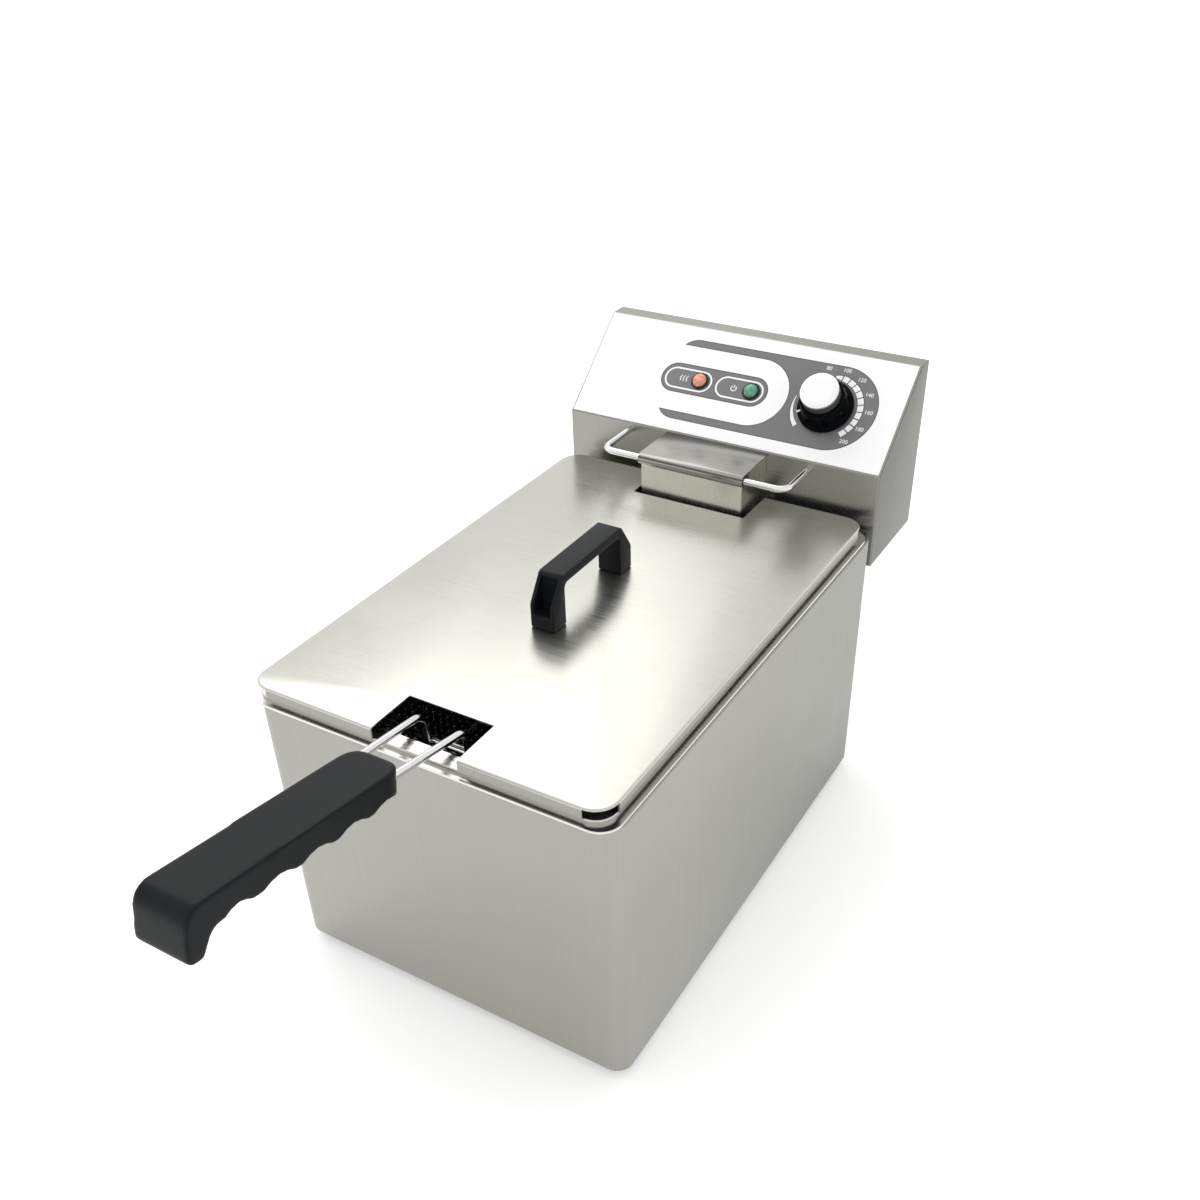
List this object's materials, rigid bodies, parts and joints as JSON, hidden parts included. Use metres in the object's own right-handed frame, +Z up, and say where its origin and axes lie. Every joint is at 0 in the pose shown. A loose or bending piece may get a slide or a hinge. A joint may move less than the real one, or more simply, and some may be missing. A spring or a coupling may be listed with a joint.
{
  "type": "deep fryer",
  "caption": "Countertop electric deep fryer: steel case with a lift-out oil tank, lift-off sloping control head, flat lid with bridge handle and one long-handled wire basket.",
  "frame": {"origin": "middle of the object's box on the surface that the feet stand on", "axes": "+X to the user's right, +Y from the basket's grip to the control head, +Z up"},
  "size_m": [0.265, 0.655, 0.3219],
  "materials": {
    "case_steel": "fine brushed stainless sheet",
    "tank_steel": "bright stainless sheet",
    "fastener_steel": "plain zinc-plated steel",
    "chrome_wire": "bright plated wire",
    "fascia_film": "printed satin film",
    "black_plastic": "fine-grained black moulding",
    "knob_silver": "silver-white cap",
    "amber_lens": "clear orange lens",
    "green_lens": "clear green lens",
    "bakelite": "dark moulded insulator",
    "element_sheath": "heat-toned stainless sheath",
    "copper": "bare copper",
    "foot_rubber": "matt black rubber"
  },
  "bodies": {
    "case": {"outer_case": "case_steel", "base_plate": "case_steel", "foot_front_left": "foot_rubber", "foot_front_right": "foot_rubber", "foot_rear_left": "foot_rubber", "foot_rear_right": "foot_rubber", "foot_screw_front_left": "fastener_steel", "foot_screw_front_right": "fastener_steel", "foot_screw_rear_left": "fastener_steel", "foot_screw_rear_right": "fastener_steel", "hanger_left": "case_steel", "hanger_right": "case_steel"},
    "tank": {"oil_tank": "tank_steel"},
    "head": {"head_housing": "case_steel", "rear_cover": "case_steel", "cover_screw_1": "fastener_steel", "cover_screw_2": "fastener_steel", "cover_screw_3": "fastener_steel", "cover_screw_4": "fastener_steel", "cord_gland": "black_plastic", "fascia_panel": "fascia_film", "thermostat_body": "bakelite", "heat_lamp_lens": "amber_lens", "heat_lamp_body": "bakelite", "power_lamp_lens": "green_lens", "power_lamp_body": "bakelite", "element_box": "case_steel", "element_cover": "tank_steel", "heating_element_left": "element_sheath", "heating_element_right": "element_sheath", "element_strap": "case_steel", "thermostat_bulb": "copper", "limit_bulb": "copper", "limit_thermostat": "bakelite", "terminal_block": "bakelite", "interlock_switch": "bakelite", "basket_rail": "chrome_wire", "rail_nut_left": "fastener_steel", "rail_nut_right": "fastener_steel"},
    "lid": {"lid_pan": "case_steel", "lid_handle": "black_plastic", "lid_screw_front": "fastener_steel", "lid_screw_rear": "fastener_steel", "lid_nut_front": "fastener_steel", "lid_nut_rear": "fastener_steel"},
    "basket": {"fry_basket": "chrome_wire", "basket_rim": "chrome_wire", "basket_hook_left": "chrome_wire", "basket_hook_right": "chrome_wire", "fork_wire_left": "chrome_wire", "fork_wire_right": "chrome_wire", "basket_grip": "black_plastic"},
    "knob": {"thermostat_shaft": "fastener_steel", "knob_body": "black_plastic", "knob_cap": "knob_silver"},
    "reset": {"reset_button": "black_plastic"}
  },
  "joints": [
    {"name": "tank_lift", "type": "slide", "parent": "case", "child": "tank", "axis": [0, 0, 1], "range_m": [0, 0.18]},
    {"name": "head_lift", "type": "slide", "parent": "tank", "child": "head", "axis": [0, 0, 1], "range_m": [0, 0.18]},
    {"name": "lid_draw", "type": "slide", "parent": "head", "child": "lid", "axis": [0, -0.866, 0.5], "range_m": [0, 0.55]},
    {"name": "basket_lift", "type": "slide", "parent": "head", "child": "basket", "axis": [0, 0, 1], "range_m": [0, 0.156]},
    {"name": "thermostat_turn", "type": "hinge", "parent": "head", "child": "knob", "pos_m": [0.0736, 0.27489, 0.29122], "axis": [0, 0.6501, -0.7598], "range_deg": [0, 280]},
    {"name": "reset_press", "type": "slide", "parent": "head", "child": "reset", "axis": [0, -1, 0], "range_m": [0, 0.002], "stiffness_N_per_m": 300}
  ],
  "couplings": [
    {"joint": "basket_lift", "follows": "lid_draw", "ratio": 0.28}
  ]
}
